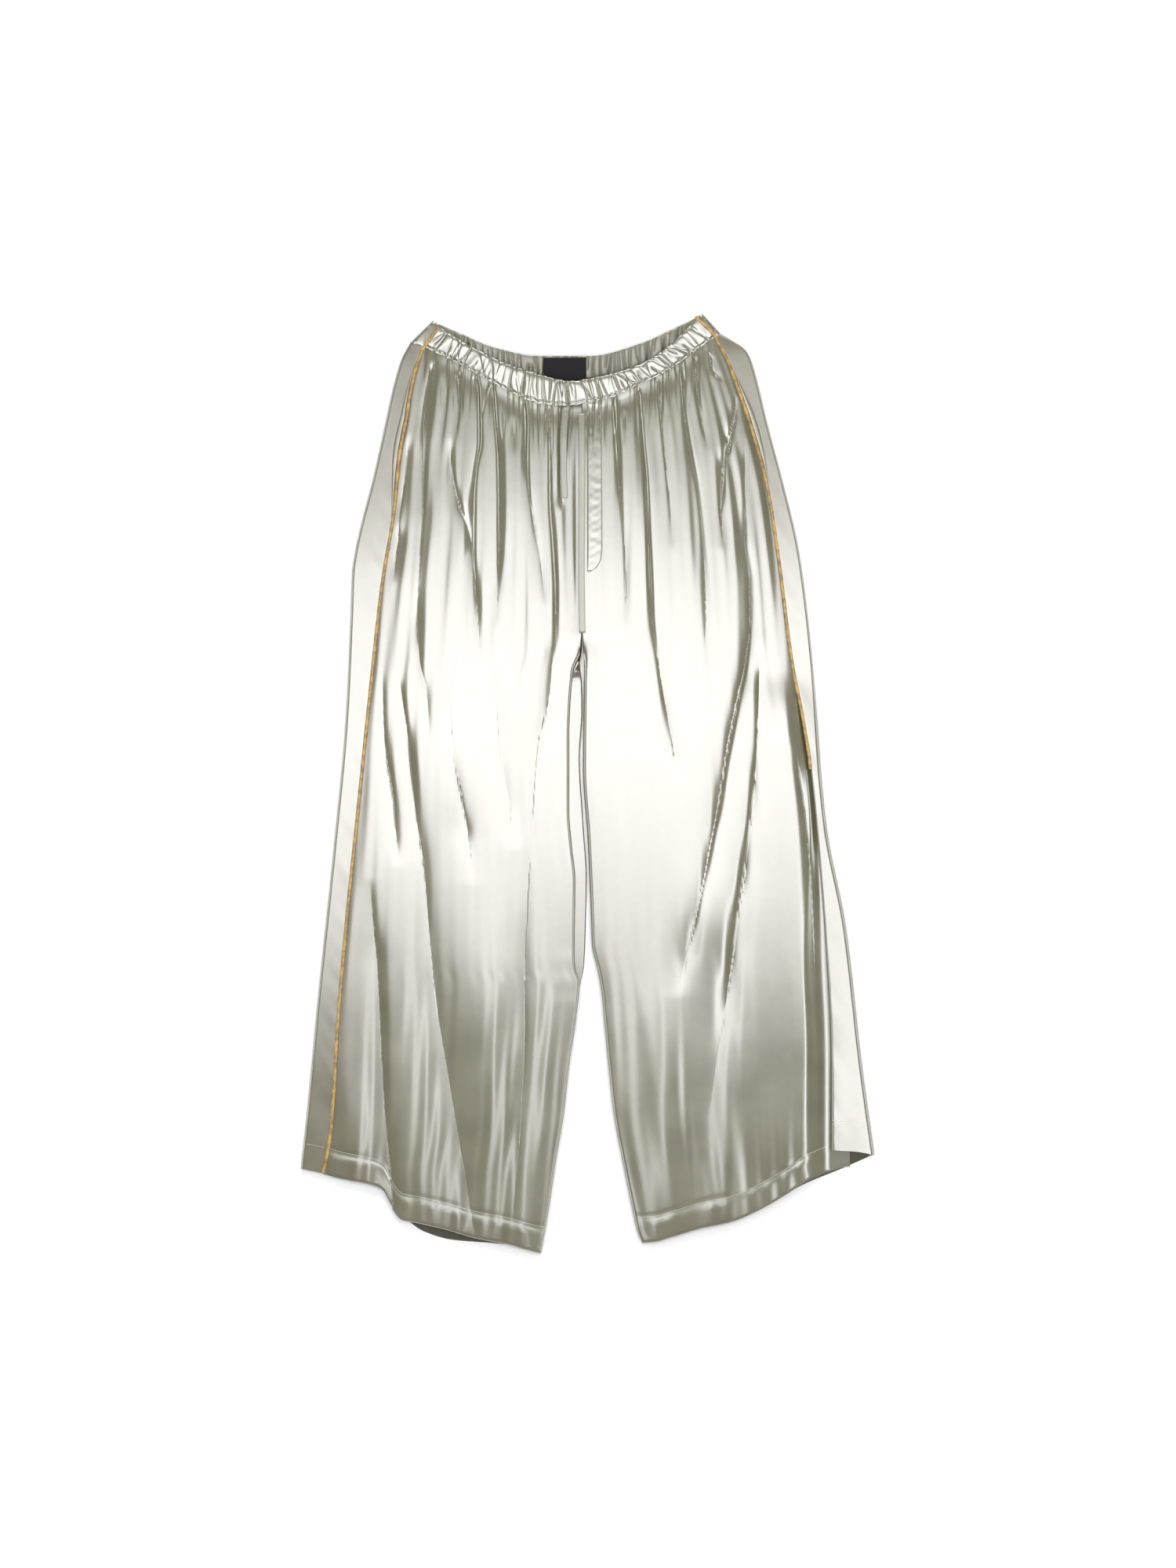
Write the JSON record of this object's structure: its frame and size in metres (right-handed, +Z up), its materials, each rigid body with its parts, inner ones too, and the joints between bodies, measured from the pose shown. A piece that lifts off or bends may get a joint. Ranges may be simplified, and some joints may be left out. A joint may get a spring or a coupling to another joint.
{
  "type": "lounge pants",
  "caption": "Wide-leg satin lounge pants laid flat, with a gathered elastic waistband, ribbon drawstring, mock fly, side pockets and piped side seams.",
  "frame": {"origin": "middle of the footprint on the surface the pants lie on", "axes": "+Z up from the surface, +Y towards the waist, +X to the right seen from above, with the front of the pants up"},
  "size_m": [0.658, 1.076, 0.0165],
  "materials": {
    "satin": "satin",
    "gold_piping": "satin",
    "black_weave": "matte"
  },
  "bodies": {
    "root": {"left_front_panel": "satin", "right_front_panel": "satin", "left_back_panel": "satin", "right_back_panel": "satin", "front_waistband": "satin", "back_waistband": "satin", "fly_flap": "satin", "left_pocket_lip": "satin", "right_pocket_lip": "satin", "left_piping": "gold_piping", "right_piping": "gold_piping", "drawstring_short": "satin", "drawstring_long": "satin", "band_label": "black_weave"}
  },
  "joints": []
}
